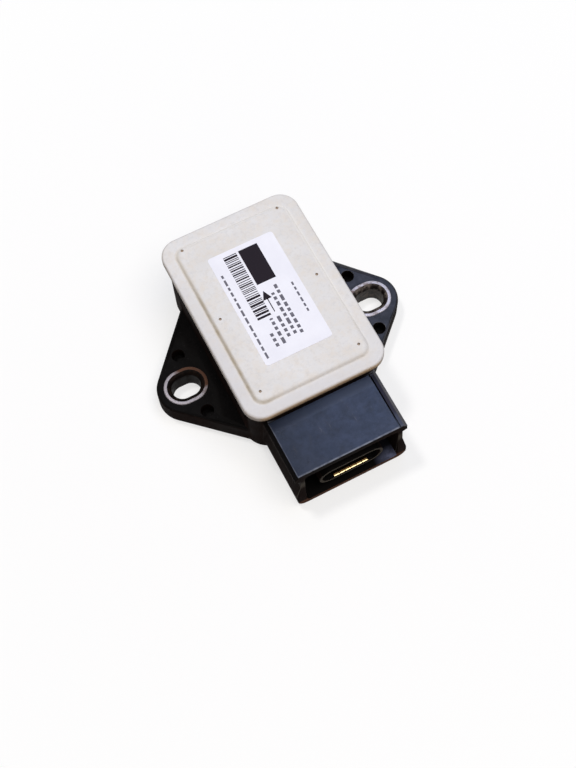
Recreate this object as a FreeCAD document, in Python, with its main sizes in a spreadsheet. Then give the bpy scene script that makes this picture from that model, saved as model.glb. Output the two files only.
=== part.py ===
import FreeCAD, Part
import math
import os
import re
import Sketcher

# Yaw rate sensor: a moulded housing with two bolted ears and a plug socket, a cover, and its electronics.
# Frame: origin midway between the two mounting slots on the underside, X from ear to ear,
# the plug socket towards -Y, Z up. Millimetres.

doc = FreeCAD.newDocument("yaw_rate_sensor")
sizes = doc.addObject("Spreadsheet::Sheet", "Sizes")

DRIVING = {
    # Housing body
    "body_width": 44.0,
    "body_length": 64.0,
    "body_corner": 7.6,
    "body_centre_y": 4.4,
    "wall_height": 24.4,
    "wall_thick": 2.2,
    "floor_thick": 2.4,
    # Mounting ears and their bushes
    "slot_spacing": 64.6,
    "slot_width": 7.0,
    "slot_travel": 2.2,
    "bush_wall": 2.4,
    "bush_proud": 0.3,
    "bush_lead_in": 1.4,
    "ear_thick": 7.0,
    "ear_tip_radius": 8.6,
    "ear_tip_beyond_slot": 0.6,
    "ear_root_depth": 2.0,
    "ear_root_far": 27.6,
    "ear_root_near": 24.0,
    "ear_edge_round": 0.8,
    "ear_pocket_bore": 4.0,
    "ear_pocket_depth": 4.0,
    "ear_pocket_inward": 2.3,
    "ear_pocket_offset": 10.45,
    # Plug socket
    "shroud_reach": 21.0,
    "shroud_top": 19.8,
    "shroud_foot_width": 37.0,
    "shroud_foot_height": 5.0,
    "shroud_foot_round": 3.4,
    "shroud_waist_width": 34.2,
    "shroud_waist_height": 12.0,
    "rail_width": 37.2,
    "rail_height": 2.4,
    "rail_slope": 0.5,
    "rail_fall": 0.5,
    "panel_width": 35.0,
    "panel_rise": 0.5,
    "panel_gap": 0.8,
    "mouth_width": 31.0,
    "mouth_floor": 2.2,
    "mouth_roof_thick": 2.2,
    "mouth_corner": 1.2,
    "mouth_setback": 1.8,
    "socket_floor": 1.8,
    "collar_length": 21.4,
    "collar_height": 8.6,
    "collar_wall": 0.9,
    "collar_centre_height": 9.6,
    "collar_recess": 1.2,
    # Contact blades
    "terminal_count": 6,
    "terminal_pitch": 1.9,
    "blade_width": 1.7,
    "blade_thick": 0.6,
    "blade_recess": 0.2,
    "blade_row_drop": 2.8,
    "blade_taper": 0.7,
    "leg_width": 0.8,
    "leg_bend": 0.5,
    "leg_from_wall": 3.2,
    "leg_above_board": 1.2,
    # Circuit board and its posts
    "board_height": 12.4,
    "board_thick": 1.6,
    "board_clearance": 0.6,
    "board_hole_clearance": 0.3,
    "post_diameter": 5.2,
    "post_inset_x": 4.0,
    "post_inset_y": 4.6,
    "screw_shank": 2.2,
    "screw_length": 7.0,
    "screw_head": 4.4,
    "screw_head_height": 1.7,
    "screw_clearance": 0.1,
    # Cover, its seal and its label
    "cover_overhang": 1.0,
    "cover_corner": 6.0,
    "cover_rim": 2.6,
    "cover_rim_bevel": 0.6,
    "cover_skin": 1.8,
    "plateau_margin": 4.0,
    "plateau_corner": 3.4,
    "plateau_rise": 1.0,
    "plateau_edge": 0.8,
    "tongue_depth": 2.0,
    "tongue_thick": 1.4,
    "tongue_clearance": 0.2,
    "seal_width": 1.0,
    "seal_depth": 1.2,
    "dimple_bore": 0.9,
    "dimple_depth": 0.4,
    "dimple_row": 32.4,
    "dimple_pitch": 26.3,
    "dimple_offset_y": 1.2,
    "label_width": 22.0,
    "label_length": 40.0,
    "label_thick": 0.12,
    "label_offset_y": 1.0,
    # Leads shared by the moulded packages
    "lead_thick": 0.25,
    "lead_foot": 0.6,
    "lead_reach": 1.1,
    "package_lift": 0.15,
    # Bare end contacts of the small chips
    "chip_cap": 0.4,
}

# Moulded packages with leads: place on the board, size, leads on each long side. A place is the distance
# from the board's left, right, near or far edge, or across and along from its middle.
PACKAGES = {
    "yaw_element": dict(across=0.0, far=13.2, wide=11.0, long=14.0, tall=3.6, leads=8, pitch=1.6, lead=0.7),
    "acceleration_element": dict(right=8.7, along=-0.5, wide=7.4, long=9.0, tall=2.6, leads=6, pitch=1.3, lead=0.5),
    "controller": dict(left=10.7, along=-1.0, wide=10.0, long=11.0, tall=1.6, leads=10, pitch=1.0, lead=0.45),
    "bus_transceiver": dict(left=10.7, near=12.2, wide=3.9, long=5.0, tall=1.5, leads=4, pitch=1.2, lead=0.5),
    "voltage_regulator": dict(right=10.7, near=16.7, wide=6.2, long=6.6, tall=2.3, leads=3, pitch=2.2, lead=0.9),
}

# Leadless chips with bare metal ends: place on the board and size
CHIPS = {
    "resonator": dict(left=11.2, near=17.2, wide=5.0, long=3.2, tall=1.3),
    "bus_choke": dict(across=0.2, near=9.7, wide=4.6, long=3.4, tall=2.8),
    "ceramic_capacitor_1": dict(across=2.0, along=-6.0, wide=2.0, long=1.3, tall=1.0),
    "ceramic_capacitor_2": dict(across=2.0, along=-8.0, wide=2.0, long=1.3, tall=1.0),
    "ceramic_capacitor_3": dict(left=6.2, far=17.2, wide=2.0, long=1.3, tall=1.0),
    "ceramic_capacitor_4": dict(right=6.2, far=17.2, wide=2.0, long=1.3, tall=1.0),
}

# Cans: place on the board and size
CANS = {
    "storage_capacitor": dict(right=10.2, near=8.2, bore=6.4, tall=5.6, base=0.9, crimp=0.5),
}

BOARD_PARTS = {**PACKAGES, **CHIPS, **CANS}
for part, values in BOARD_PARTS.items():
    for key, value in values.items():
        DRIVING[part + "_" + key] = value

for row, (alias, value) in enumerate(DRIVING.items(), start=1):
    sizes.set("A%d" % row, alias)
    sizes.set("B%d" % row, str(value))
    sizes.setAlias("B%d" % row, alias)
doc.recompute()

# Places and sizes that follow from the driving ones, as expressions
SLOT_X = "slot_spacing / 2"
BUSH_HALF_WIDTH = "(slot_width / 2 + bush_wall)"
NEAR_FACE = "(body_length / 2 - body_centre_y)"
SHROUD_FRONT = "(" + NEAR_FACE + " + shroud_reach)"
SOCKET_BACK = "(" + NEAR_FACE + " + socket_floor)"
CAVITY_HALF_X = "(body_width / 2 - wall_thick)"
CAVITY_HALF_Y = "(body_length / 2 - wall_thick)"
CAVITY_CORNER = "(body_corner - wall_thick)"
CAVITY_NEAR = "(" + NEAR_FACE + " - wall_thick)"
POST_X = "(" + CAVITY_HALF_X + " - post_inset_x)"
POST_Y = "(" + CAVITY_HALF_Y + " - post_inset_y)"
BLADE_HEIGHT = "(collar_centre_height - blade_row_drop)"
BOARD_HALF_X = "(" + CAVITY_HALF_X + " - board_clearance)"
BOARD_HALF_Y = "(" + CAVITY_HALF_Y + " - board_clearance)"
BOARD_TOP = "(board_height + board_thick)"
LEG_Y = "(" + CAVITY_NEAR + " - leg_from_wall)"
TONGUE_HALF_X = "(" + CAVITY_HALF_X + " - tongue_clearance)"
TONGUE_HALF_Y = "(" + CAVITY_HALF_Y + " - tongue_clearance)"
TONGUE_CORNER = "(" + CAVITY_CORNER + " - tongue_clearance)"
SHOULDER_TOP = "(wall_height + cover_rim)"
COVER_TOP = "(wall_height + cover_rim + plateau_rise)"


def number(text):
    return float(sizes.evalExpression(text))


def bind(target, prop, text):
    named = re.sub(r"\b[a-z]\w*\b(?!\()", lambda word: "Sizes." + word.group(), text)
    target.setExpression(prop, named)


def origin_feature(body, role):
    return next(item for item in body.Origin.OriginFeatures if item.Role == role)


def new_body(name):
    body = doc.addObject("PartDesign::Body", name)
    body.Label = name
    return body


def new_sketch(body, name, plane="XY_Plane", height="0"):
    sketch = body.newObject("Sketcher::SketchObject", name)
    sketch.AttachmentSupport = (origin_feature(body, plane), [""])
    sketch.MapMode = "FlatFace"
    bind(sketch, "AttachmentOffset.Base.z", height)
    return sketch


def constrain(sketch, kind, *points, text=None):
    if text is None:
        sketch.addConstraint(Sketcher.Constraint(kind, *points))
        return
    index = sketch.addConstraint(Sketcher.Constraint(kind, *points, number(text)))
    bind(sketch, "Constraints[%d]" % index, text)


def fix_point(sketch, curve, end, x, y):
    constrain(sketch, "DistanceX", -1, 1, curve, end, text=x)
    constrain(sketch, "DistanceY", -1, 1, curve, end, text=y)


def polygon(sketch, corners):
    points = [FreeCAD.Vector(number(x), number(y), 0) for x, y in corners]
    first = sketch.GeometryCount
    count = len(points)
    for step in range(count):
        sketch.addGeometry(Part.LineSegment(points[step], points[(step + 1) % count]))
    for step, (x, y) in enumerate(corners):
        constrain(sketch, "Coincident", first + step, 2, first + (step + 1) % count, 1)
        fix_point(sketch, first + step, 1, x, y)


def rectangle(sketch, left, right, low, high):
    polygon(sketch, [(left, low), (right, low), (right, high), (left, high)])


def circle(sketch, x, y, diameter):
    centre = FreeCAD.Vector(number(x), number(y), 0)
    index = sketch.addGeometry(Part.Circle(centre, FreeCAD.Vector(0, 0, 1), number(diameter) / 2))
    fix_point(sketch, index, 3, x, y)
    constrain(sketch, "Diameter", index, text=diameter)


def arc(sketch, x, y, radius, start, end):
    full = Part.Circle(FreeCAD.Vector(x, y, 0), FreeCAD.Vector(0, 0, 1), radius)
    return sketch.addGeometry(Part.ArcOfCircle(full, start, end))


def line(sketch, x0, y0, x1, y1):
    return sketch.addGeometry(Part.LineSegment(FreeCAD.Vector(x0, y0, 0), FreeCAD.Vector(x1, y1, 0)))


def rounded_rectangle(sketch, centre_y, half_x, half_y, corner):
    x, y, mid, radius = number(half_x), number(half_y), number(centre_y), number(corner)
    low, high = mid - y, mid + y
    quarter = math.pi / 2
    bottom = line(sketch, radius - x, low, x - radius, low)
    arcs = [arc(sketch, x - radius, low + radius, radius, -quarter, 0)]
    right = line(sketch, x, low + radius, x, high - radius)
    arcs.append(arc(sketch, x - radius, high - radius, radius, 0, quarter))
    top = line(sketch, x - radius, high, radius - x, high)
    arcs.append(arc(sketch, radius - x, high - radius, radius, quarter, 2 * quarter))
    left = line(sketch, -x, high - radius, -x, low + radius)
    arcs.append(arc(sketch, radius - x, low + radius, radius, 2 * quarter, 3 * quarter))
    lines = [bottom, right, top, left]
    for side, bend in zip(lines, arcs):
        constrain(sketch, "Tangent", side, 2, bend, 1)
        constrain(sketch, "Tangent", bend, 2, lines[(lines.index(side) + 1) % len(lines)], 1)
    for level in (bottom, top):
        constrain(sketch, "Horizontal", level)
    for upright in (right, left):
        constrain(sketch, "Vertical", upright)
    for bend in arcs[1:]:
        constrain(sketch, "Equal", arcs[0], bend)
    constrain(sketch, "Radius", arcs[0], text=corner)
    constrain(sketch, "DistanceX", -1, 1, right, 1, text=half_x)
    constrain(sketch, "DistanceX", -1, 1, left, 1, text="-" + half_x)
    constrain(sketch, "DistanceY", -1, 1, bottom, 1, text=centre_y + " - " + half_y)
    constrain(sketch, "DistanceY", -1, 1, top, 1, text=centre_y + " + " + half_y)


def stadium(sketch, x, y, half_run, radius):
    mid_x, mid_y, run, bend = number(x), number(y), number(half_run), number(radius)
    quarter = math.pi / 2
    right = arc(sketch, mid_x + run, mid_y, bend, -quarter, quarter)
    top = line(sketch, mid_x + run, mid_y + bend, mid_x - run, mid_y + bend)
    left = arc(sketch, mid_x - run, mid_y, bend, quarter, 3 * quarter)
    low = line(sketch, mid_x - run, mid_y - bend, mid_x + run, mid_y - bend)
    for one, other in ((right, top), (top, left), (left, low), (low, right)):
        constrain(sketch, "Tangent", one, 2, other, 1)
    constrain(sketch, "Equal", right, left)
    constrain(sketch, "Radius", right, text=radius)
    fix_point(sketch, right, 3, x + " + " + half_run, y)
    fix_point(sketch, left, 3, x + " - " + half_run, y)


def extrude(body, kind, name, sketch, length, reverse=False, symmetric=False):
    feature = body.newObject("PartDesign::" + kind, name)
    feature.Profile = sketch
    feature.Reversed = reverse
    if symmetric:
        feature.SideType = "Symmetric"
    bind(feature, "Length", length)
    doc.recompute()
    return feature


def mirror(body, name, features):
    copy = body.newObject("PartDesign::Mirrored", name)
    copy.Originals = features
    copy.MirrorPlane = (origin_feature(body, "YZ_Plane"), [""])
    body.Tip = copy
    doc.recompute()
    return copy


def row_of(body, name, feature, axis, length, count):
    copies = body.newObject("PartDesign::LinearPattern", name)
    copies.Originals = [feature]
    copies.Direction = (origin_feature(body, axis), [""])
    bind(copies, "Length", length)
    bind(copies, "Occurrences", count)
    body.Tip = copies
    doc.recompute()
    return copies


def dress(body, kind, name, size, wanted):
    base = body.Tip
    chosen = ["Edge%d" % (index + 1) for index, edge in enumerate(base.Shape.Edges) if wanted(edge)]
    feature = body.newObject("PartDesign::" + kind, name)
    feature.Base = (base, chosen)
    bind(feature, "Radius" if kind == "Fillet" else "Size", size)
    doc.recompute()
    return feature


def near(one, other):
    return abs(one - other) < 1e-4


def level_at(edge, height):
    box = edge.BoundBox
    return near(box.ZMin, height) and near(box.ZMax, height)


def runs_along_y(edge):
    box = edge.BoundBox
    return box.YLength > max(box.XLength, box.ZLength) and near(box.XLength, 0)


def place(body, x="0", y="0", z="0"):
    bind(body, "Placement.Base.x", x)
    bind(body, "Placement.Base.y", y)
    bind(body, "Placement.Base.z", z)


def ear_outline(sketch):
    tip_x = SLOT_X + " + ear_tip_beyond_slot"
    root_x = "body_width / 2 - ear_root_depth"
    radius = number("ear_tip_radius")
    x, root = number(tip_x), number(root_x)
    far, close = number("ear_root_far"), -number("ear_root_near")
    tip = arc(sketch, x, 0, radius, -math.pi / 4, math.pi / 4)
    upper = line(sketch, x + radius / 2, radius, root, far)
    inner = line(sketch, root, far, root, close)
    lower = line(sketch, root, close, x + radius / 2, -radius)
    constrain(sketch, "Tangent", tip, 2, upper, 1)
    constrain(sketch, "Coincident", upper, 2, inner, 1)
    constrain(sketch, "Coincident", inner, 2, lower, 1)
    constrain(sketch, "Tangent", lower, 2, tip, 1)
    constrain(sketch, "Radius", tip, text="ear_tip_radius")
    fix_point(sketch, tip, 3, tip_x, "0")
    fix_point(sketch, inner, 1, root_x, "ear_root_far")
    fix_point(sketch, inner, 2, root_x, "-ear_root_near")


def shroud_section():
    strip = "shroud_top - panel_rise"
    rail_low = strip + " - rail_height"
    half = [
        ("shroud_foot_width / 2", "0"),
        ("shroud_foot_width / 2", "shroud_foot_height"),
        ("shroud_waist_width / 2", "shroud_waist_height"),
        ("shroud_waist_width / 2", rail_low + " - rail_slope"),
        ("rail_width / 2", rail_low),
        ("rail_width / 2", strip + " - rail_fall"),
        ("panel_width / 2", strip),
        ("panel_width / 2", "shroud_top"),
    ]
    return half + [("-" + x, z) for x, z in reversed(half)]


def post_places():
    return [(side + POST_X, "body_centre_y " + end + " " + POST_Y) for side in ("-", "") for end in "-+"]


def add_ears(body):
    sketch = new_sketch(body, "ear_outline")
    ear_outline(sketch)
    ear = extrude(body, "Pad", "ear", sketch, "ear_thick")
    mirror(body, "both_ears", [ear])


def add_shroud(body):
    section = new_sketch(body, "shroud_section", "XZ_Plane", NEAR_FACE + " - body_corner")
    polygon(section, shroud_section())
    extrude(body, "Pad", "shroud", section, "shroud_reach + body_corner")
    foot = number("shroud_foot_width / 2")
    front = -number(SHROUD_FRONT)

    def foot_edge(edge):
        box = edge.BoundBox
        return runs_along_y(edge) and level_at(edge, 0) and near(abs(box.XMin), foot) and near(box.YMin, front)

    dress(body, "Fillet", "shroud_foot_rounding", "shroud_foot_round", foot_edge)
    gap = new_sketch(body, "panel_gap_outline", height="shroud_top")
    rectangle(gap, "-rail_width / 2", "rail_width / 2", "-" + NEAR_FACE + " - panel_gap", "-" + NEAR_FACE)
    extrude(body, "Pocket", "panel_gap_cut", gap, "panel_rise")


def hollow_body(body):
    cavity = new_sketch(body, "cavity_outline", height="wall_height")
    rounded_rectangle(cavity, "body_centre_y", CAVITY_HALF_X, CAVITY_HALF_Y, CAVITY_CORNER)
    extrude(body, "Pocket", "cavity", cavity, "wall_height - floor_thick")
    seat = new_sketch(body, "seal_seat_outline", height="wall_height")
    rounded_rectangle(seat, "body_centre_y", "(" + CAVITY_HALF_X + " + seal_width)",
                      "(" + CAVITY_HALF_Y + " + seal_width)", "(" + CAVITY_CORNER + " + seal_width)")
    extrude(body, "Pocket", "seal_seat", seat, "seal_depth")


def hollow_shroud(body):
    mouth = new_sketch(body, "mouth_outline", "XZ_Plane", SHROUD_FRONT)
    middle = "(shroud_top - mouth_roof_thick + mouth_floor) / 2"
    half = "(shroud_top - mouth_roof_thick - mouth_floor) / 2"
    rounded_rectangle(mouth, middle, "(mouth_width / 2)", half, "mouth_corner")
    extrude(body, "Pocket", "mouth", mouth, "shroud_reach - socket_floor")
    collar = new_sketch(body, "collar_outline", "XZ_Plane", SOCKET_BACK)
    run = "(collar_length - collar_height) / 2"
    stadium(collar, "0", "collar_centre_height", run, "collar_height / 2")
    stadium(collar, "0", "collar_centre_height", run, "collar_height / 2 - collar_wall")
    extrude(body, "Pad", "collar", collar, "shroud_reach - socket_floor - collar_recess")
    slant = new_sketch(body, "mouth_slant_outline", "YZ_Plane")
    lip = "-" + SHROUD_FRONT
    above = "shroud_top + panel_rise"
    polygon(slant, [(lip, "mouth_floor"), (lip + " + mouth_setback", "shroud_top"),
                    (lip + " + mouth_setback", above), (lip + " - mouth_setback", above),
                    (lip + " - mouth_setback", "mouth_floor")])
    extrude(body, "Pocket", "mouth_slant", slant, "rail_width + panel_rise", symmetric=True)
    blade = new_sketch(body, "blade_slot_outline", "XZ_Plane", SOCKET_BACK)
    first = "-(terminal_count - 1) * terminal_pitch / 2"
    rectangle(blade, first + " - blade_width / 2", first + " + blade_width / 2",
              BLADE_HEIGHT + " - blade_thick / 2", BLADE_HEIGHT + " + blade_thick / 2")
    slot = extrude(body, "Pocket", "blade_slot", blade, "socket_floor + wall_thick")
    row_of(body, "blade_slots", slot, "X_Axis", "(terminal_count - 1) * terminal_pitch", "terminal_count")


def pierce_ears(body):
    seat = new_sketch(body, "bush_seat_outline")
    stadium(seat, SLOT_X, "0", "slot_travel / 2", BUSH_HALF_WIDTH)
    seat_cut = extrude(body, "Pocket", "bush_seat", seat, "ear_thick", reverse=True)
    mirror(body, "both_bush_seats", [seat_cut])
    pocket = new_sketch(body, "ear_pocket_outline", height="ear_thick")
    for sign in ("", "-"):
        circle(pocket, SLOT_X + " - ear_pocket_inward", sign + "ear_pocket_offset", "ear_pocket_bore")
    pocket_cut = extrude(body, "Pocket", "ear_pocket", pocket, "ear_pocket_depth")
    mirror(body, "all_ear_pockets", [pocket_cut])


def add_posts(body):
    posts = new_sketch(body, "post_outline", height="floor_thick")
    pilots = new_sketch(body, "pilot_outline", height="board_height")
    for x, y in post_places():
        circle(posts, x, y, "post_diameter")
        circle(pilots, x, y, "screw_shank + screw_clearance")
    extrude(body, "Pad", "posts", posts, "board_height - floor_thick")
    extrude(body, "Pocket", "pilots", pilots, "screw_length - board_thick + screw_clearance")


def round_ears(body):
    height = number("ear_thick")
    side = number("body_width / 2")
    seat_end = number(SLOT_X) + number("slot_travel / 2") + number(BUSH_HALF_WIDTH)
    pocket_x = number(SLOT_X + " - ear_pocket_inward")

    def ear_rim(edge):
        box = edge.BoundBox
        if not level_at(edge, height) or min(abs(box.XMin), abs(box.XMax)) < side - 1e-4:
            return False
        outside = max(abs(box.XMin), abs(box.XMax)) > seat_end + 1e-4
        sloping = edge.Curve.TypeId == "Part::GeomLine" and box.XLength > 1e-4 and box.YLength > 1e-4
        return (outside or sloping) and not near(edge.CenterOfMass.x, pocket_x)

    dress(body, "Fillet", "ear_rounding", "ear_edge_round", ear_rim)


def make_housing():
    body = new_body("housing")
    outline = new_sketch(body, "body_outline")
    rounded_rectangle(outline, "body_centre_y", "(body_width / 2)", "(body_length / 2)", "body_corner")
    extrude(body, "Pad", "walls", outline, "wall_height")
    add_ears(body)
    add_shroud(body)
    round_ears(body)
    pierce_ears(body)
    hollow_body(body)
    hollow_shroud(body)
    add_posts(body)
    return body


def make_cover():
    body = new_body("cover")
    half_x = "(body_width / 2 + cover_overhang)"
    half_y = "(body_length / 2 + cover_overhang)"
    rim = new_sketch(body, "rim_outline", height="wall_height")
    rounded_rectangle(rim, "body_centre_y", half_x, half_y, "cover_corner")
    extrude(body, "Pad", "rim", rim, "cover_rim")
    field = new_sketch(body, "plateau_outline", height=SHOULDER_TOP)
    rounded_rectangle(field, "body_centre_y", "(" + half_x + " - plateau_margin)",
                      "(" + half_y + " - plateau_margin)", "plateau_corner")
    extrude(body, "Pad", "plateau", field, "plateau_rise")
    tongue = new_sketch(body, "tongue_outline", height="wall_height")
    rounded_rectangle(tongue, "body_centre_y", TONGUE_HALF_X, TONGUE_HALF_Y, TONGUE_CORNER)
    extrude(body, "Pad", "tongue", tongue, "tongue_depth", reverse=True)
    hollow = new_sketch(body, "hollow_outline", height="wall_height - tongue_depth")
    rounded_rectangle(hollow, "body_centre_y", "(" + TONGUE_HALF_X + " - tongue_thick)",
                      "(" + TONGUE_HALF_Y + " - tongue_thick)", "(" + TONGUE_CORNER + " - tongue_thick)")
    extrude(body, "Pocket", "hollow", hollow, "tongue_depth + cover_rim + plateau_rise - cover_skin", reverse=True)
    outer = number(half_x) - number("plateau_margin")
    shoulder, top = number(SHOULDER_TOP), number(COVER_TOP)
    rim_reach = number(half_x) - number("cover_corner")

    def rim_edge(edge):
        box = edge.BoundBox
        return level_at(edge, shoulder) and max(abs(box.XMin), abs(box.XMax)) >= rim_reach - 1e-4 and (
            max(abs(box.XMin), abs(box.XMax)) > outer + 1e-4
            or abs(edge.CenterOfMass.y - number("body_centre_y")) > number(half_y) - 1e-4)

    dress(body, "Chamfer", "rim_bevel", "cover_rim_bevel", rim_edge)
    dress(body, "Chamfer", "plateau_bevel", "plateau_edge", lambda edge: level_at(edge, top))
    dimples = new_sketch(body, "dimple_outline", height=COVER_TOP)
    middle = "body_centre_y + dimple_offset_y"
    for x in ("-dimple_row / 2", "dimple_row / 2"):
        for y in (middle + " - dimple_pitch", middle, middle + " + dimple_pitch"):
            circle(dimples, x, y, "dimple_bore")
    extrude(body, "Pocket", "dimples", dimples, "dimple_depth")
    return body


def make_seal():
    body = new_body("cover_seal")
    ring = new_sketch(body, "ring_outline", height="wall_height - seal_depth")
    rounded_rectangle(ring, "body_centre_y", "(" + CAVITY_HALF_X + " + seal_width)",
                      "(" + CAVITY_HALF_Y + " + seal_width)", "(" + CAVITY_CORNER + " + seal_width)")
    rounded_rectangle(ring, "body_centre_y", CAVITY_HALF_X, CAVITY_HALF_Y, CAVITY_CORNER)
    extrude(body, "Pad", "ring", ring, "seal_depth")
    return body


def make_label():
    body = new_body("label")
    outline = new_sketch(body, "label_outline")
    rectangle(outline, "-label_width / 2", "label_width / 2", "-label_length / 2", "label_length / 2")
    extrude(body, "Pad", "sheet", outline, "label_thick")
    place(body, y="body_centre_y + label_offset_y", z=COVER_TOP)
    return body


def make_bush(name, side):
    body = new_body(name)
    outline = new_sketch(body, "bush_outline")
    stadium(outline, "0", "0", "slot_travel / 2", BUSH_HALF_WIDTH)
    stadium(outline, "0", "0", "slot_travel / 2", "slot_width / 2")
    extrude(body, "Pad", "tube", outline, "ear_thick + bush_proud")
    reach = number("slot_width / 2 + slot_travel / 2")
    top = number("ear_thick + bush_proud")

    def hole_rim(edge):
        box = edge.BoundBox
        return level_at(edge, top) and max(abs(box.XMin), abs(box.XMax)) < reach + 1e-4 and (
            max(abs(box.YMin), abs(box.YMax)) < number("slot_width / 2") + 1e-4)

    dress(body, "Chamfer", "lead_in", "bush_lead_in", hole_rim)
    place(body, x=side + SLOT_X)
    return body


def terminal_place(index):
    return "(%d - (terminal_count - 1) / 2) * terminal_pitch" % index


def make_terminal(index):
    body = new_body("terminal_%d" % (index + 1))
    low = BLADE_HEIGHT + " - blade_thick / 2"
    high = BLADE_HEIGHT + " + blade_thick / 2"
    tip = "-" + SHROUD_FRONT + " + collar_recess + blade_recess"
    inner = "-" + CAVITY_NEAR
    side = new_sketch(body, "blade_side", "YZ_Plane")
    polygon(side, [(tip, BLADE_HEIGHT + " - blade_thick / 4"), (tip + " + blade_taper", low), (inner, low),
                   (inner, high), (tip + " + blade_taper", high), (tip, BLADE_HEIGHT + " + blade_thick / 4")])
    extrude(body, "Pad", "blade", side, "blade_width", symmetric=True)
    leg = new_sketch(body, "leg_side", "YZ_Plane")
    back, front = "-" + LEG_Y + " + blade_thick / 2", "-" + LEG_Y + " - blade_thick / 2"
    crown = BOARD_TOP + " + leg_above_board"
    polygon(leg, [(inner, low), (back + " - leg_bend", low), (back, low + " + leg_bend"), (back, crown),
                  (front, crown), (front, high), (inner, high)])
    extrude(body, "Pad", "leg", leg, "leg_width", symmetric=True)
    place(body, x=terminal_place(index))
    return body


def make_board():
    body = new_body("circuit_board")
    outline = new_sketch(body, "board_outline", height="board_height")
    rounded_rectangle(outline, "body_centre_y", BOARD_HALF_X, BOARD_HALF_Y,
                      "(" + CAVITY_CORNER + " - board_clearance)")
    for x, y in post_places():
        circle(outline, x, y, "screw_shank + board_hole_clearance")
    half_x, half_y = "(leg_width + board_hole_clearance) / 2", "(blade_thick + board_hole_clearance) / 2"
    for index in range(int(number("terminal_count"))):
        middle = terminal_place(index)
        rectangle(outline, middle + " - " + half_x, middle + " + " + half_x,
                  "-" + LEG_Y + " - " + half_y, "-" + LEG_Y + " + " + half_y)
    extrude(body, "Pad", "sheet", outline, "board_thick")
    return body


def make_screw(name, x, y):
    body = new_body(name)
    profile = new_sketch(body, "screw_profile", "XZ_Plane")
    tip = "board_thick - screw_length"
    polygon(profile, [("0", tip), ("screw_shank / 2", tip), ("screw_shank / 2", "0"), ("screw_head / 2", "0"),
                      ("screw_head / 2", "screw_head_height"), ("0", "screw_head_height")])
    turned = body.newObject("PartDesign::Revolution", "turned")
    turned.Profile = profile
    turned.ReferenceAxis = (profile, ["V_Axis"])
    turned.Angle = 360
    place(body, x, y, BOARD_TOP)
    return body


def seat_on_board(body, name):
    across = {"left": "-" + BOARD_HALF_X + " + ", "right": BOARD_HALF_X + " - ", "across": ""}
    along = {"near": "-" + BOARD_HALF_Y + " + ", "far": BOARD_HALF_Y + " - ", "along": ""}
    x, y = [next(start + name + "_" + edge for edge, start in starts.items() if edge in BOARD_PARTS[name])
            for starts in (across, along)]
    place(body, x, "body_centre_y + (" + y + ")", BOARD_TOP)


def make_package(name):
    body = new_body(name)
    wide, long, tall = name + "_wide / 2", name + "_long / 2", name + "_tall"
    block = new_sketch(body, "package_outline", height="package_lift")
    rectangle(block, "-" + wide, wide, "-" + long, long)
    extrude(body, "Pad", "package", block, tall + " - package_lift")
    top = number(tall)
    dress(body, "Chamfer", "package_edges", "lead_thick", lambda edge: level_at(edge, top))
    leads = new_sketch(body, "lead_profile", "XZ_Plane", "(%s_leads - 1) * %s_pitch / 2" % (name, name))
    shoulder = tall + " / 2"
    for sign in ("", "-"):
        inner = sign + "(" + wide + ")"
        bend = sign + "(" + wide + " + lead_reach - lead_foot)"
        bend_inner = sign + "(" + wide + " + lead_reach - lead_foot - lead_thick)"
        toe = sign + "(" + wide + " + lead_reach)"
        polygon(leads, [(inner, shoulder), (bend, shoulder), (bend, "lead_thick"), (toe, "lead_thick"), (toe, "0"),
                        (bend_inner, "0"), (bend_inner, shoulder + " - lead_thick"),
                        (inner, shoulder + " - lead_thick")])
    pair = extrude(body, "Pad", "lead_pair", leads, name + "_lead", symmetric=True)
    row_of(body, "lead_rows", pair, "Y_Axis", "(%s_leads - 1) * %s_pitch" % (name, name), name + "_leads")
    seat_on_board(body, name)
    return body


def make_chip(name):
    body = new_body(name)
    wide, long, tall = name + "_wide / 2", name + "_long / 2", name + "_tall"
    block = new_sketch(body, "chip_outline")
    rectangle(block, "-" + wide, wide, "-" + long, long)
    extrude(body, "Pad", "chip", block, tall)
    waist = new_sketch(body, "waist_profile", "XZ_Plane")
    inner = wide + " - chip_cap"
    rectangle(waist, "-(" + inner + ")", inner, tall + " - chip_cap / 4", tall + " + chip_cap")
    extrude(body, "Pocket", "waist", waist, name + "_long + chip_cap", symmetric=True)
    seat_on_board(body, name)
    return body


def make_can(name):
    body = new_body(name)
    base = new_sketch(body, "base_outline")
    half = name + "_bore / 2"
    rectangle(base, "-" + half, half, "-" + half, half)
    extrude(body, "Pad", "base", base, name + "_base")
    can = new_sketch(body, "can_outline", height=name + "_base")
    circle(can, "0", "0", name + "_bore")
    extrude(body, "Pad", "can", can, name + "_tall - " + name + "_base")
    top = number(name + "_tall")
    dress(body, "Chamfer", "can_edge", name + "_crimp", lambda edge: level_at(edge, top))
    seat_on_board(body, name)
    return body


def make_all():
    bodies = [make_housing(), make_cover(), make_seal(), make_label()]
    bodies.append(make_bush("left_bush", "-"))
    bodies.append(make_bush("right_bush", ""))
    bodies += [make_terminal(index) for index in range(int(number("terminal_count")))]
    bodies.append(make_board())
    for index, (x, y) in enumerate(post_places(), start=1):
        bodies.append(make_screw("board_screw_%d" % index, x, y))
    bodies += [make_package(name) for name in PACKAGES]
    bodies += [make_chip(name) for name in CHIPS]
    bodies += [make_can(name) for name in CANS]
    return bodies


def check_document(bodies):
    doc.recompute()
    for item in doc.Objects:
        if "Invalid" in item.State or "Error" in item.State:
            raise RuntimeError("failed: " + item.Name + " " + str(item.State))
    for body in bodies:
        shape = body.Shape
        if shape.isNull() or not shape.isValid() or len(shape.Solids) != 1:
            raise RuntimeError("bad shape: " + body.Label)


pieces = make_all()
check_document(pieces)
os.makedirs("parts", exist_ok=True)
for piece in pieces:
    piece.Shape.exportStep("parts/" + piece.Label + ".step")
    print(piece.Label, round(piece.Shape.Volume, 2))
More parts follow.
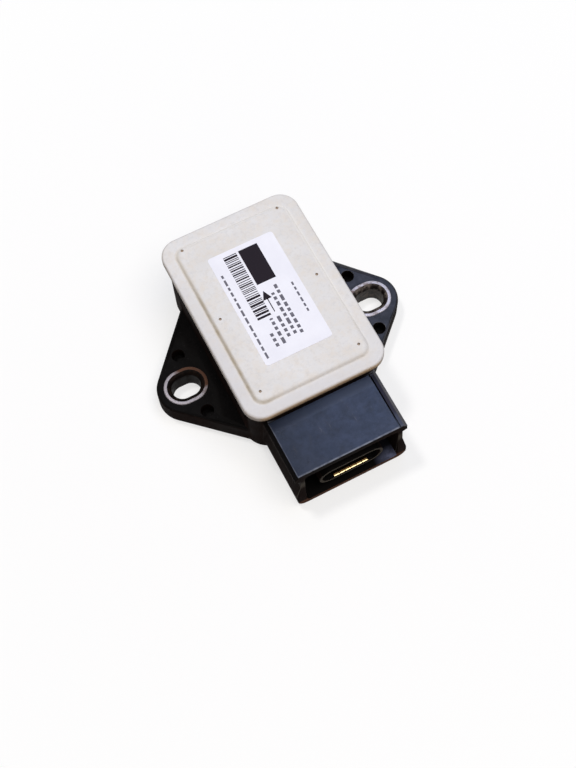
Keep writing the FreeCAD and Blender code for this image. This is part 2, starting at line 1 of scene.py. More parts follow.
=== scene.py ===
import math
import random

import bmesh
import bpy
from mathutils import Matrix, Vector


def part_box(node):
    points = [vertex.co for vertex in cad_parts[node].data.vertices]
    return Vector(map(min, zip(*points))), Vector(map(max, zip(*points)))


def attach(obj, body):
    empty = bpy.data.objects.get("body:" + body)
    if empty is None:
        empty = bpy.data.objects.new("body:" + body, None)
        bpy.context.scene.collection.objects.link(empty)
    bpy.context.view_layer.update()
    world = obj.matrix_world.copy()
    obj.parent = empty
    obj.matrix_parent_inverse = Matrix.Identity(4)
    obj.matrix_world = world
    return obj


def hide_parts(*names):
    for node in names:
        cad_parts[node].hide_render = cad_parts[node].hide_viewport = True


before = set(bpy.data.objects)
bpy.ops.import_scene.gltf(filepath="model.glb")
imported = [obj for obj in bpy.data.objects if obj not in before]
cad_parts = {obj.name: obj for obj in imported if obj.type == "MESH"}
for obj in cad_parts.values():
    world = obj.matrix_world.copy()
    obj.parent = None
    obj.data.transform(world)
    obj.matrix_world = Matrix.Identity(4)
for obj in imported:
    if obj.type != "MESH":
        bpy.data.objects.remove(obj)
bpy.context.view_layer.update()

# Yaw rate sensor, in metres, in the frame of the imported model.
# The sizes below are in millimetres, and the main ones are the CAD model's.
MM = 0.001
SAME = 0.002            # what is closer than this is in one place
CORNER_STEPS = 10
UPWARD = 0.6            # a face whose normal rises by more than this is an upper one

# Housing
MIDDLE_Y = 4.4          # middle of its body
WALL_TOP = 24.4
SOCKET_FRONT = -48.6
SOCKET_EDGES = -28.9    # edges in front of this belong to the socket
SOCKET_FACES = -27.0    # and faces in front of this
SOCKET_HIGH = 15.0      # the socket's upper side lies above this
MOUTH_LOW = 4.0         # and the floor of its mouth below this
PANEL_HALF = 17.5       # flat panel on top of the socket
PANEL_FRONT = -46.8
PANEL_TOP = 19.8
GROOVE_X = 16.3         # shallow groove beside the panel's right edge
GROOVE_HALF = 0.2
GROOVE_DEPTH = 0.3
GROOVE_ENDS = (-48.0, -28.0)
COLLAR_FRONT = -47.4
BLADE_TIP = -47.2
BLADE_ROOT = -29.4      # where the blades come out of the socket's back wall
BLADES_HALF = 6.5       # half the width of their row, with some room
BLADES_LOW, BLADES_HIGH = 6.0, 7.6
EAR_START = 20.0
EAR_TOP = 7.0
POCKET_X, POCKET_Y = 30.0, 10.45
POCKET_REACH = 2.05
BROKEN_EDGE = 0.2

# Cover, with its half sizes across and along
RIM_HALF, RIM_CORNER = (23.0, 33.0), 6.0
RIM_ONLY = (20.6, 30.6)         # only the rim reaches past this
FIELD_HALF, FIELD_CORNER = (19.0, 29.0), 3.4
FIELD_ONLY = (19.6, 29.6)       # the raised field stays inside this
FIELD_TOP_HALF = (18.2, 28.2)
TONGUE_HALF, TONGUE_CORNER = (19.6, 29.6), 5.2
TONGUE_WALL = 1.4
TONGUE_END = 22.4       # lower end of the tongue that goes into the housing
SHOULDER = 27.0         # flat edge round the raised field
COVER_TOP = 28.0
COVER_ROOF = 1.8        # thickness over the hollow
DIMPLE = 0.45
DIMPLE_X = 16.2
DIMPLE_MIDDLE_Y = 5.6
DIMPLE_STEPS = (-26.3, 0.0, 26.3)

# Label
LABEL_HALF, LABEL_CORNER = (11.0, 20.0), 0.9
LABEL_MIDDLE_Y = 5.4
LABEL_TOP = 28.12
SKIN = 0.02             # thickness of the printed ink

# Bushes
SLOT_X = 32.3
SLOT_STRETCH = 1.1      # half the straight run of the slot
BUSH_TOP = 7.3
BUSH_RADIUS = 5.9
BUSH_WALL = 2.4
BUSH_LIP = 1.4
BUSH_STEPS = 64
BORE = BUSH_RADIUS - BUSH_WALL
RING_START = 4.75       # the flat ring lies outside this

# The housing's material slots
FLANK, MOUTH_FLOOR, SOCKET_TOP, PAINTED_SHEEN_EAR, PAINTED_SHADE_TOP = range(5)


def to_object_mode():
    if bpy.context.object and bpy.context.object.mode != "OBJECT":
        bpy.ops.object.mode_set(mode="OBJECT")
    bpy.ops.object.select_all(action="DESELECT")


def take(piece):
    """Makes the piece the only one selected, in object mode."""
    to_object_mode()
    piece.select_set(True)
    bpy.context.view_layer.objects.active = piece


def edit(piece):
    take(piece)
    bpy.ops.object.mode_set(mode="EDIT")
    bpy.ops.mesh.select_all(action="DESELECT")


def pick(piece, part, wanted):
    """Selects the faces, edges or verts for which wanted is true, and nothing else."""
    bpy.ops.mesh.select_mode(type={"faces": "FACE", "edges": "EDGE", "verts": "VERT"}[part])
    bpy.ops.mesh.select_all(action="DESELECT")
    mesh = bmesh.from_edit_mesh(piece.data)
    for item in getattr(mesh, part):
        if wanted(item):
            item.select_set(True)
    mesh.select_flush_mode()
    bmesh.update_edit_mesh(piece.data)


def place_of(item):
    """Middle of a face, or of an edge, in millimetres."""
    if isinstance(item, bmesh.types.BMFace):
        return item.calc_center_median() / MM
    return sum((vert.co for vert in item.verts), Vector()) / len(item.verts) / MM


def level(edge, height):
    return all(abs(vert.co.z / MM - height) < SAME for vert in edge.verts)


def block(name, low, high):
    """A block between two corners, its place in its mesh."""
    to_object_mode()
    middle = [(a + b) / 2 * MM for a, b in zip(low, high)]
    bpy.ops.mesh.primitive_cube_add(size=1, location=middle)
    piece = bpy.context.object
    piece.name = piece.data.name = name
    piece.scale = [(b - a) * MM for a, b in zip(low, high)]
    bpy.ops.object.transform_apply(location=True, rotation=True, scale=True)
    return piece


def rounded_block(name, half, middle_y, low, high, corner, steps=CORNER_STEPS):
    """A block with rounded upright edges, given by its half sizes across and along."""
    piece = block(name, (-half[0], middle_y - half[1], low), (half[0], middle_y + half[1], high))
    edit(piece)
    pick(piece, "edges", lambda edge: abs(edge.verts[0].co.z - edge.verts[1].co.z) > 1e-6)
    bpy.ops.mesh.bevel(offset=corner * MM, segments=steps, affect="EDGES")
    to_object_mode()
    return piece


def joined(name, pieces):
    to_object_mode()
    for piece in pieces:
        piece.select_set(True)
    bpy.context.view_layer.objects.active = pieces[0]
    bpy.ops.object.join()
    pieces[0].name = pieces[0].data.name = name
    return pieces[0]


def bridge_at(piece, wanted):
    pick(piece, "edges", wanted)
    bpy.ops.mesh.bridge_edge_loops()


def round_off(piece, wanted, size, steps):
    pick(piece, "edges", wanted)
    bpy.ops.mesh.bevel(offset=size * MM, segments=steps, affect="EDGES", clamp_overlap=True)


def outward_normals():
    bpy.ops.mesh.select_all(action="SELECT")
    bpy.ops.mesh.normals_make_consistent(inside=False)


def apply_modifiers(piece):
    take(piece)
    for modifier in list(piece.modifiers):
        bpy.ops.object.modifier_apply(modifier=modifier.name)


def cut_away(piece, cutter):
    """Takes the cutter's shape out of the piece, and merges what that leaves almost in one place."""
    cut = piece.modifiers.new("cut", "BOOLEAN")
    cut.operation = "DIFFERENCE"
    cut.object = cutter
    apply_modifiers(piece)
    bpy.data.objects.remove(cutter)
    edit(piece)
    bpy.ops.mesh.select_all(action="SELECT")
    bpy.ops.mesh.remove_doubles(threshold=SAME * MM)
    bpy.ops.mesh.dissolve_degenerate(threshold=SAME * MM)
    to_object_mode()


def smooth(piece, degrees, crisp=None):
    """Smooth shading up to an angle, with the broad flat faces kept flat and the crisp edges sharp."""
    take(piece)
    bpy.ops.object.shade_smooth_by_angle(angle=math.radians(degrees))
    if crisp:
        edit(piece)
        pick(piece, "edges", crisp)
        bpy.ops.mesh.mark_sharp()
        to_object_mode()
    flat = piece.modifiers.new("flat_faces", "WEIGHTED_NORMAL")
    flat.keep_sharp = True
    flat.weight = 100
    apply_modifiers(piece)


def copy_of_mesh(source, name):
    """A new object with its own copy of another's mesh."""
    piece = bpy.data.objects.new(name, source.data.copy())
    piece.data.name = name
    bpy.context.scene.collection.objects.link(piece)
    return piece


def copy_of_node(node, name):
    """A merged copy of a CAD node's mesh, its flat faces whole again."""
    piece = copy_of_mesh(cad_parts[node], name)
    edit(piece)
    bpy.ops.mesh.select_all(action="SELECT")
    bpy.ops.mesh.remove_doubles(threshold=1e-6)
    bpy.ops.mesh.dissolve_limited(angle_limit=math.radians(0.3))
    to_object_mode()
    return piece


def coat(piece, *finishes):
    piece.data.materials.clear()
    for finish in finishes:
        piece.data.materials.append(finish)


def finish_piece(piece, slot, *nodes):
    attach(piece, "root")
    if nodes:
        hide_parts(*nodes)


# Finishes

def colour(red, green, blue):
    """A colour as it is read off a picture, 0 to 255, in the renderer's own measure."""
    parts = [value / 255 for value in (red, green, blue)]
    return tuple(v / 12.92 if v <= 0.04045 else ((v + 0.055) / 1.055) ** 2.4 for v in parts) + (1.0,)


class Nodes:
    """A material's nodes, with patterns that read the piece's own place."""

    def __init__(self, name):
        self.material = bpy.data.materials.new(name)
        self.material.use_nodes = True
        self.tree = self.material.node_tree
        self.shader = self.tree.nodes["Principled BSDF"]
        self.place = self.tree.nodes.new("ShaderNodeTexCoord").outputs["Object"]

    def set(self, node, socket, value):
        if isinstance(value, bpy.types.NodeSocket):
            self.tree.links.new(value, node.inputs[socket])
        else:
            node.inputs[socket].default_value = value

    def node(self, kind, **sockets):
        made = self.tree.nodes.new("ShaderNode" + kind)
        for socket, value in sockets.items():
            self.set(made, socket, value)
        return made

    def noise(self, per_mm, detail=4.0, rough=0.55, stretch=None):
        vector = self.place
        if stretch:
            vector = self.node("Mapping", Vector=self.place, Scale=stretch).outputs["Vector"]
        made = self.node("TexNoise", Vector=vector, Scale=per_mm / MM, Detail=detail, Roughness=rough)
        return made.outputs["Fac"]

    def ramp(self, factor, start, end, low=0.0, high=1.0):
        """Goes from low to high while the factor goes from start to end."""
        made = self.node("MapRange")
        for socket, value in zip(("Value", "From Min", "From Max", "To Min", "To Max"),
                                 (factor, start, end, low, high)):
            self.set(made, socket, value)
        return made.outputs["Result"]

    def calc(self, kind, one, other=0.0):
        made = self.node("Math")
        made.operation = kind
        self.set(made, 0, one)
        self.set(made, 1, other)
        return made.outputs[0]

    def times(self, one, other):
        return self.calc("MULTIPLY", one, other)

    def off(self, value, middle):
        """How far a value is from a middle, on either side."""
        return self.calc("ABSOLUTE", self.calc("SUBTRACT", value, middle))

    def mix(self, factor, one, other):
        made = self.node("Mix")
        made.data_type = "RGBA"
        self.set(made, 0, factor)
        self.set(made, 6, one)
        self.set(made, 7, other)
        return made.outputs[2]

    def axis(self, name):
        """The piece's X, Y or Z, in millimetres."""
        return self.times(self.node("SeparateXYZ", Vector=self.place).outputs[name], 1 / MM)


class Finish(Nodes):
    """A Principled material."""

    def __init__(self, name, base, roughness, metallic=0.0, gloss=0.5):
        super().__init__(name)
        self.base(base)
        self.roughness(roughness)
        self.metallic(metallic)
        self.set(self.shader, "Specular IOR Level", gloss)
        self.bumps = None

    def base(self, value):
        self.set(self.shader, "Base Color", value)

    def roughness(self, value):
        self.set(self.shader, "Roughness", value)

    def metallic(self, value):
        self.set(self.shader, "Metallic", value)

    def bump(self, height, depth_mm, strength):
        made = self.node("Bump", Strength=strength, Distance=depth_mm * MM, Height=height)
        if self.bumps:
            self.set(made, "Normal", self.bumps)
        self.bumps = made.outputs["Normal"]
        self.set(self.shader, "Normal", self.bumps)


def moulded_top(name, dark, light, smoothest, gloss, painted_light=None):
    """An upward face of the housing: black with a fine grain, handling marks and pale dust."""
    made = Finish(name, dark, smoothest, gloss=gloss)
    clouds = made.noise(0.09, 5)
    scuffs = made.ramp(made.noise(0.6, 6, 0.65, stretch=(1.0, 0.25, 1.0)), 0.55, 0.75)
    dust_and_painted_sheen = made.ramp(made.noise(2.4, 3), 0.66, 0.74)
    tone = made.mix(made.ramp(made.noise(0.3, 6, 0.7), 0.35, 0.65), dark, light)
    tone = made.mix(made.times(dust_and_painted_sheen, 0.22), tone, colour(88, 86, 92))
    # painted_light, where given, paints light and shade over the tone
    made.base(painted_light(made, tone) if painted_light else tone)
    made.roughness(made.calc("ADD", made.ramp(clouds, 0.3, 0.7, smoothest, smoothest + 0.06),
                             made.times(scuffs, 0.1)))
    made.bump(made.noise(5.0, 2), 0.02, 0.3)
    made.bump(scuffs, 0.01, 0.3)
    return made.material


def socket_painted_light(made, tone):
    """The socket's panel with painted light: a painted sheen beside the cover, painted shade towards its
    left, on its rail, in its creases, in its groove and on the strip beyond the groove, and painted
    highlights along its near and left edges.
    """
    x, y = made.axis("X"), made.axis("Y")
    past_panel = made.calc("SUBTRACT", made.calc("ABSOLUTE", x), PANEL_HALF)
    # painted sheen: paler and bluer beside the cover
    tone = made.mix(made.ramp(y, -31.7, -30.5, 0.0, 0.85), tone, colour(74, 85, 110))
    # painted shade: darker towards the left
    tone = made.mix(made.ramp(x, -18.0, 4.0, 0.62, 0.0), tone, colour(14, 18, 30))
    # painted shade on the rail beyond the panel's edge
    tone = made.mix(made.ramp(past_panel, 0.3, 0.5, 0.0, 0.55), tone, colour(14, 14, 20))
    # painted highlights along the panel's near and left edges
    near_edge = made.ramp(y, PANEL_FRONT + 0.3, PANEL_FRONT + 0.65, 0.9, 0.0)
    left_edge = made.times(made.ramp(made.off(past_panel, -0.12), 0.08, 0.2, 0.36, 0.0),
                           made.ramp(x, -1.0, 1.0, 1.0, 0.0))
    painted_edge_highlight = made.times(made.calc("MAXIMUM", near_edge, left_edge),
                        made.ramp(made.noise(0.5, 4), 0.35, 0.6, 0.35, 1.0))
    tone = made.mix(painted_edge_highlight, tone, colour(118, 122, 134))
    # painted shade in the crease at the foot of the panel's edge
    crease = made.times(made.ramp(past_panel, 0.0, 0.04), made.ramp(past_panel, 0.25, 0.45, 1.0, 0.0))
    tone = made.mix(crease, tone, colour(8, 7, 9))
    # painted shade on the strip beyond the groove
    tone = made.mix(made.ramp(x, GROOVE_X, GROOVE_X + 0.3, 0.0, 0.6), tone, colour(56, 53, 62))
    # painted shade in the groove
    groove = made.ramp(made.off(x, GROOVE_X), GROOVE_HALF, GROOVE_HALF + 0.08, 1.0, 0.0)
    return made.mix(groove, tone, colour(7, 6, 9))


def mouth_floor():
    """Floor of the connector's mouth: black, darker than the flanks as painted shade, with a painted bluish
    reflection towards its open right end.
    """
    # painted shade: the floor is darker than the flanks
    black = colour(6, 5, 5)
    made = Finish("mouth_floor", black, 0.6, gloss=0.05)
    grain = made.noise(0.8, 5, 0.65)
    # painted bluish reflection towards the mouth's open right end, broken up by the grain
    dust_and_painted_sheen = made.times(made.ramp(made.axis("X"), 8.0, 13.5),
                      made.ramp(made.axis("Y"), -47.6, -44.4, 1.0, 0.05))
    dust_and_painted_sheen = made.times(dust_and_painted_sheen, made.ramp(grain, 0.3, 0.6, 0.5, 1.0))
    made.base(made.mix(dust_and_painted_sheen, black, colour(100, 106, 134)))
    made.bump(grain, 0.03, 0.4)
    return made.material


def moulded_flank():
    """The housing's upright and hidden faces: dull black, brownish with road dirt, with a painted warm
    highlight on the front lip's lower band and a painted highlight on the collar's front.
    """
    made = Finish("moulded_flank", colour(22, 15, 14), 0.75, gloss=0.02)
    y, z = made.axis("Y"), made.axis("Z")
    clouds = made.ramp(made.noise(0.12, 5), 0.35, 0.68)
    streaks = made.ramp(made.noise(0.5, 4, 0.6, stretch=(1.0, 1.0, 0.3)), 0.5, 0.75)
    tone = made.mix(clouds, colour(15, 10, 9), colour(27, 18, 16))
    tone = made.mix(made.times(streaks, 0.4), tone, colour(45, 33, 29))
    # painted warm highlight: paler brown on the front lip's lower band
    sill = made.times(made.ramp(y, SOCKET_FRONT + 0.2, SOCKET_FRONT + 0.8, 1.0, 0.0),
                      made.ramp(z, 2.4, 3.4, 1.0, 0.0))
    sill = made.times(sill, made.ramp(clouds, 0.0, 1.0, 0.6, 1.0))
    tone = made.mix(sill, tone, colour(104, 72, 56))
    # painted highlight on the collar's front rim
    collar = made.ramp(made.off(y, COLLAR_FRONT), 0.05, 0.25, 0.75, 0.0)
    made.base(made.mix(collar, tone, colour(92, 88, 82)))
    made.roughness(made.ramp(clouds, 0.0, 1.0, 0.62, 0.82))
    made.bump(made.noise(3.5, 3), 0.03, 0.5)
    return made.material


def cream_moulding():
    """The cover: mottled cream plastic; painted shade with tan grime round the foot of its raised field,
    strongest on the left; painted shade on the near-left shoulder and painted light on the field's slope to
    the right and far side; a tan band low on its near side, with painted shade at its foot beside the
    housing.
    """
    made = Finish("cream_moulding", colour(224, 221, 218), 0.6, gloss=0.15)
    x, y, z = (made.axis(name) for name in "XYZ")
    mottle = made.ramp(made.noise(0.07, 5, 0.6), 0.35, 0.68)
    tone = made.mix(mottle, colour(218, 217, 217), colour(226, 226, 228))
    warm = made.ramp(made.noise(0.28, 6, 0.7), 0.42, 0.66)
    tone = made.mix(made.times(warm, 0.45), tone, colour(217, 206, 191))
    cool = made.ramp(made.noise(0.8, 5, 0.7), 0.50, 0.68)
    tone = made.mix(made.times(cool, 0.4), tone, colour(200, 199, 200))
    specks = made.ramp(made.noise(1.7, 3), 0.70, 0.76)
    tone = made.mix(made.times(specks, 0.35), tone, colour(196, 184, 168))

    # How far a point lies from the field's flat middle, round its corners
    across = made.calc("SUBTRACT", made.calc("ABSOLUTE", x), FIELD_HALF[0] - FIELD_CORNER)
    along = made.calc("SUBTRACT", made.off(y, MIDDLE_Y), FIELD_HALF[1] - FIELD_CORNER)
    squares = [made.calc("POWER", made.calc("MAXIMUM", part, 0.0), 2.0) for part in (across, along)]
    reach = made.calc("SQRT", made.calc("ADD", *squares))

    # painted shade with tan grime: a band round the field's foot, strongest on the left
    grime_and_painted_shade = made.times(made.ramp(made.off(reach, 3.1), 0.2, 0.8, 1.0, 0.0),
                       made.ramp(x, -17.0, -12.0, 1.0, 0.22))
    grime_and_painted_shade = made.times(grime_and_painted_shade, made.ramp(made.noise(0.25, 4), 0.3, 0.6, 0.35, 0.8))
    tone = made.mix(grime_and_painted_shade, tone, colour(178, 164, 138))
    # painted shade: the shoulder darker towards the near left
    to_far_right = made.calc("ADD", x, made.calc("SUBTRACT", y, MIDDLE_Y))
    painted_shade_near_left = made.times(made.ramp(reach, 3.3, 4.2), made.ramp(to_far_right, -30.0, 12.0, 0.5, 0.0))
    tone = made.mix(painted_shade_near_left, tone, colour(205, 204, 208))
    # painted light: the field's slope paler towards the right and far side
    painted_light_on_slope = made.times(made.ramp(made.off(reach, 3.0), 0.3, 0.8, 0.8, 0.0),
                       made.ramp(to_far_right, -12.0, 14.0))
    tone = made.mix(painted_light_on_slope, tone, colour(243, 240, 236))
    near = made.ramp(y, -28.4, -27.6, 1.0, 0.25)
    near_tan_band = made.times(made.ramp(z, 26.2, 26.9, 0.9, 0.0), near)
    tone = made.mix(near_tan_band, tone, colour(224, 194, 152))
    # painted shade at the foot of the near side, beside the housing
    painted_seam_shade = made.times(made.ramp(z, 24.6, 25.8, 1.0, 0.0), near)
    made.base(made.mix(painted_seam_shade, tone, colour(106, 89, 73)))
    made.roughness(made.ramp(mottle, 0.0, 1.0, 0.52, 0.66))
    made.bump(made.noise(2.2, 3), 0.02, 0.3)
    return made.material


def dimple_tone():
    """The colour in the cover's dimples: darker and brownish."""
    made = Finish("dimple_tone", colour(122, 104, 88), 0.85, gloss=0.05)
    lumps = made.noise(3.0, 4)
    made.base(made.mix(made.ramp(lumps, 0.35, 0.65), colour(146, 128, 112), colour(172, 156, 140)))
    made.bump(lumps, 0.03, 0.5)
    return made.material


def label_paper():
    made = Finish("label_paper", colour(236, 237, 246), 0.5, gloss=0.15)
    fibre = made.noise(3.0, 4, 0.6, stretch=(1.0, 0.3, 1.0))
    clouds = made.ramp(made.noise(0.12, 4), 0.35, 0.7)
    made.base(made.mix(clouds, colour(233, 234, 244), colour(240, 241, 250)))
    made.roughness(made.ramp(fibre, 0.3, 0.7, 0.32, 0.46))
    made.bump(fibre, 0.006, 0.4)
    return made.material


def label_ink():
    made = Finish("label_ink", colour(34, 29, 37), 0.6, gloss=0.08)
    worn = made.ramp(made.noise(2.6, 4, 0.65), 0.60, 0.78)
    made.base(made.mix(made.times(worn, 0.35), colour(34, 28, 36), colour(70, 66, 74)))
    made.roughness(made.ramp(worn, 0.0, 1.0, 0.5, 0.7))
    made.bump(made.noise(4.0, 2), 0.004, 0.4)
    return made.material


def pale_ink():
    made = Finish("pale_ink", colour(96, 94, 106), 0.45, gloss=0.4)
    worn = made.ramp(made.noise(3.2, 4, 0.65), 0.5, 0.75)
    made.base(made.mix(worn, colour(84, 82, 94), colour(150, 149, 160)))
    made.bump(made.noise(4.0, 2), 0.004, 0.4)
    return made.material


def rubbed_steel(name, light, dark, rust):
    """The flat ring of a bush: dull worn steel, rusty on its far inner side by as much as given."""
    made = Finish(name, light, 0.5, metallic=0.35, gloss=0.3)
    outward = made.calc("SUBTRACT", made.calc("ABSOLUTE", made.axis("X")), SLOT_X)
    side = made.calc("ADD", outward, made.times(made.axis("Y"), -0.6))
    blotches = made.calc("ADD", made.noise(0.5, 5, 0.65), made.ramp(side, -5.0, 5.0, rust, -rust))
    rusty = made.ramp(blotches, 0.48, 0.74)
    freckles = made.ramp(made.noise(2.2, 4), 0.55, 0.70)
    made.base(made.mix(rusty, made.mix(freckles, light, dark), colour(84, 56, 42)))
    made.metallic(made.ramp(rusty, 0.0, 1.0, 0.35, 0.0))
    made.roughness(made.ramp(rusty, 0.0, 1.0, 0.45, 0.8))
    made.bump(made.noise(1.8, 5), 0.05, 0.5)
    return made.material


def dark_steel(name, dark, pale, metallic, gloss):
    """Lip and bore of a bush: oxidised steel, nearly black."""
    made = Finish(name, dark, 0.55, metallic=metallic, gloss=gloss)
    patch = made.ramp(made.noise(0.55, 5, 0.65), 0.46, 0.7)
    made.base(made.mix(patch, dark, pale))
    made.roughness(made.ramp(patch, 0.0, 1.0, 0.5, 0.75))
    made.bump(made.noise(2.0, 4), 0.04, 0.5)
    return made.material


def contact_gold():
    """Gilded blades: bright at the tips, with painted shade behind them, where the socket's roof shades
    them.
    """
    made = Finish("contact_gold", colour(236, 196, 104), 0.24, metallic=1.0)
    wipe = made.noise(2.5, 4, 0.6, stretch=(1.0, 0.15, 1.0))
    bright = made.mix(made.ramp(wipe, 0.35, 0.7), colour(226, 200, 140), colour(244, 228, 184))
    # painted shade behind the tips, where the socket's roof shades the blades
    behind_tip = made.ramp(made.axis("Y"), BLADE_TIP + 0.1, BLADE_TIP + 0.3)
    made.base(made.mix(behind_tip, bright, colour(66, 50, 30)))
    made.roughness(made.ramp(wipe, 0.3, 0.7, 0.18, 0.34))
    made.bump(wipe, 0.004, 0.4)
    return made.material


def board_laminate():
    """Green solder mask over copper tracks, with the glass weave showing through."""
    made = Finish("board_laminate", colour(24, 84, 52), 0.32)
    x, y = made.axis("X"), made.axis("Y")
    bends = made.ramp(made.noise(0.06, 2), 0.3, 0.7, 0.0, 6.0)
    lanes = made.calc("PINGPONG", made.calc("ADD", x, bends), 0.6)
    tracks = made.ramp(lanes, 0.34, 0.40)
    threads = [made.calc("SINE", made.times(along, 9.0)) for along in (x, y)]
    weave = made.times(*threads)
    made.base(made.mix(made.times(tracks, 0.6), colour(18, 74, 46), colour(42, 118, 70)))
    made.roughness(made.ramp(weave, -1.0, 1.0, 0.28, 0.38))
    made.bump(tracks, 0.03, 0.5)
    made.bump(weave, 0.006, 0.4)
    return made.material


def sealant():
    made = Finish("sealant", colour(58, 60, 64), 0.5, gloss=0.4)
    lumps = made.noise(0.7, 4)
    made.base(made.mix(made.ramp(lumps, 0.35, 0.65), colour(48, 50, 54), colour(70, 72, 76)))
    made.bump(lumps, 0.12, 0.6)
    return made.material


def turned_steel():
    made = Finish("turned_steel", colour(168, 170, 176), 0.32, metallic=1.0)
    lines = made.noise(1.6, 5, 0.6, stretch=(1.0, 1.0, 6.0))
    made.base(made.mix(made.ramp(lines, 0.3, 0.7), colour(146, 147, 152), colour(190, 192, 198)))
    made.roughness(made.ramp(lines, 0.3, 0.7, 0.24, 0.42))
    made.bump(lines, 0.01, 0.5)
    return made.material


def ends_of(made, node, length):
    """1 on the two ends of a board part, of the given length, and 0 between them."""
    low, high = (corner[0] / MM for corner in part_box(node))
    start = (high - low) / 2 - length
    return made.ramp(made.off(made.axis("X"), (low + high) / 2), start, start + 0.02)


def leaded_package(node):
    """Black epoxy with a laser-dulled top between two rows of tinned leads."""
    made = Finish(node + "_finish", colour(30, 30, 32), 0.6)
    leads = ends_of(made, node, 1.1)
    grain = made.noise(4.0, 3)
    epoxy = made.mix(made.ramp(grain, 0.35, 0.65), colour(24, 24, 26), colour(40, 40, 43))
    tin = made.mix(made.ramp(made.noise(1.5, 4), 0.3, 0.7), colour(176, 178, 182), colour(206, 207, 210))
    made.base(made.mix(leads, epoxy, tin))
    made.metallic(leads)
    made.roughness(made.ramp(leads, 0.0, 1.0, 0.62, 0.3))
    made.bump(grain, 0.015, 0.5)
    return made.material


def capped_chip(node, tone, other):
    """A fired chip with tinned ends."""
    made = Finish(node + "_finish", tone, 0.45)
    tinned = ends_of(made, node, 0.4)
    grain = made.noise(5.0, 3)
    body = made.mix(made.ramp(grain, 0.35, 0.65), tone, other)
    made.base(made.mix(tinned, body, colour(190, 191, 194)))
    made.metallic(tinned)
    made.roughness(made.ramp(tinned, 0.0, 1.0, 0.5, 0.3))
    made.bump(grain, 0.01, 0.5)
    return made.material


def can_finish(node):
    """An aluminium can on a black base, with the dark half moon of its minus side."""
    low, high = (Vector(corner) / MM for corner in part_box(node))
    base_top, moon_start = low.z + 0.9, (low.x + high.x) / 2 + 1.6
    made = Finish(node + "_finish", colour(186, 188, 190), 0.3, metallic=1.0)
    z = made.axis("Z")
    above = made.ramp(z, base_top - 0.01, base_top)
    moon = made.times(made.ramp(made.axis("X"), moon_start, moon_start + 0.05),
                      made.ramp(z, high.z - 0.1, high.z - 0.05))
    brushed = made.noise(1.2, 5, 0.6, stretch=(1.0, 1.0, 8.0))
    can = made.mix(made.ramp(brushed, 0.3, 0.7), colour(170, 172, 175), colour(204, 206, 208))
    can = made.mix(moon, can, colour(26, 26, 30))
    made.base(made.mix(above, colour(28, 28, 30), can))
    made.metallic(made.calc("SUBTRACT", above, moon))
    made.roughness(made.ramp(brushed, 0.3, 0.7, 0.24, 0.4))
    made.bump(brushed, 0.008, 0.4)
    return made.material


# Pieces

def to_be_broken(edge):
    """The sharp edges of the socket and the ear pockets, without the tight slots of the blades."""
    if len(edge.link_faces) != 2 or edge.calc_face_angle() < 0.6:
        return False
    spot = place_of(edge)
    if level(edge, EAR_TOP):
        if math.hypot(abs(spot.x) - POCKET_X, abs(spot.y) - POCKET_Y) < POCKET_REACH:
            return True
    at_blade = (abs(spot.y - BLADE_ROOT) < 0.05 and abs(spot.x) < BLADES_HALF
                and BLADES_LOW < spot.z < BLADES_HIGH)
    return not at_blade and all(vert.co.y / MM < SOCKET_EDGES for vert in edge.verts)


def housing_slot(face):
    """The material slot of a face of the housing."""
    spot = face.center / MM
    if face.normal.z <= UPWARD:
        return FLANK
    # Upward faces: painted sheen on the right ear's top and the socket's panel, painted shade on the rest
    if spot.y >= SOCKET_FACES:
        on_right_ear = spot.x > EAR_START and spot.z > EAR_TOP - 0.3
        return PAINTED_SHEEN_EAR if on_right_ear else PAINTED_SHADE_TOP
    on_left_rail = spot.x < -PANEL_HALF - 0.05
    if spot.z > SOCKET_HIGH and not on_left_rail:
        return SOCKET_TOP
    return PAINTED_SHADE_TOP if on_left_rail or spot.z > MOUTH_LOW else MOUTH_FLOOR


def make_housing():
    """The moulded housing: its sharp edges broken, a groove in its panel, glossier on its upward faces, with
    painted sheen and painted shade in their colours.
    """
    piece = copy_of_node("housing", "housing_moulding")
    edit(piece)
    pick(piece, "edges", to_be_broken)
    bpy.ops.transform.edge_bevelweight(value=1.0)
    to_object_mode()
    broken = piece.modifiers.new("broken_edges", "BEVEL")
    broken.width = BROKEN_EDGE * MM
    broken.segments = 2
    broken.limit_method = "WEIGHT"
    broken.use_clamp_overlap = False
    apply_modifiers(piece)
    edit(piece)
    pick(piece, "verts", lambda vert: vert.co.y / MM < SOCKET_FRONT)
    bpy.ops.transform.resize(value=(1, 0, 1), center_override=(0, SOCKET_FRONT * MM, 0))
    groove_low = (GROOVE_X - GROOVE_HALF, GROOVE_ENDS[0], PANEL_TOP - GROOVE_DEPTH)
    groove_high = (GROOVE_X + GROOVE_HALF, GROOVE_ENDS[1], PANEL_TOP + 0.5)
    cut_away(piece, block("groove_cutter", groove_low, groove_high))
    smooth(piece, 40, lambda edge: edge.calc_length() / MM > 6 and edge.calc_face_angle(0) > 0.1)
    # The socket's panel and the right ear get paler, bluer tones as painted sheen; the other upward faces,
    # the left ear and left rail among them, are near black as painted shade.
    coat(piece, moulded_flank(), mouth_floor(),
         moulded_top("socket_top", colour(18, 24, 41), colour(42, 50, 73), 0.17, 0.4, socket_painted_light),
         moulded_top("painted_sheen_ear", colour(18, 18, 23), colour(48, 48, 58), 0.26, 0.3),
         moulded_top("painted_shade_top", colour(5, 4, 4), colour(11, 9, 9), 0.55, 0.05))
    for face in piece.data.polygons:
        face.material_index = housing_slot(face)
    finish_piece(piece, "black_plastic", "housing")


def in_dimple(spot):
    return any(
        math.hypot(abs(spot.x) - DIMPLE_X, spot.y - DIMPLE_MIDDLE_Y - step) < 1.05 * DIMPLE
        and 0.05 < COVER_TOP - spot.z < 0.6 for step in DIMPLE_STEPS)


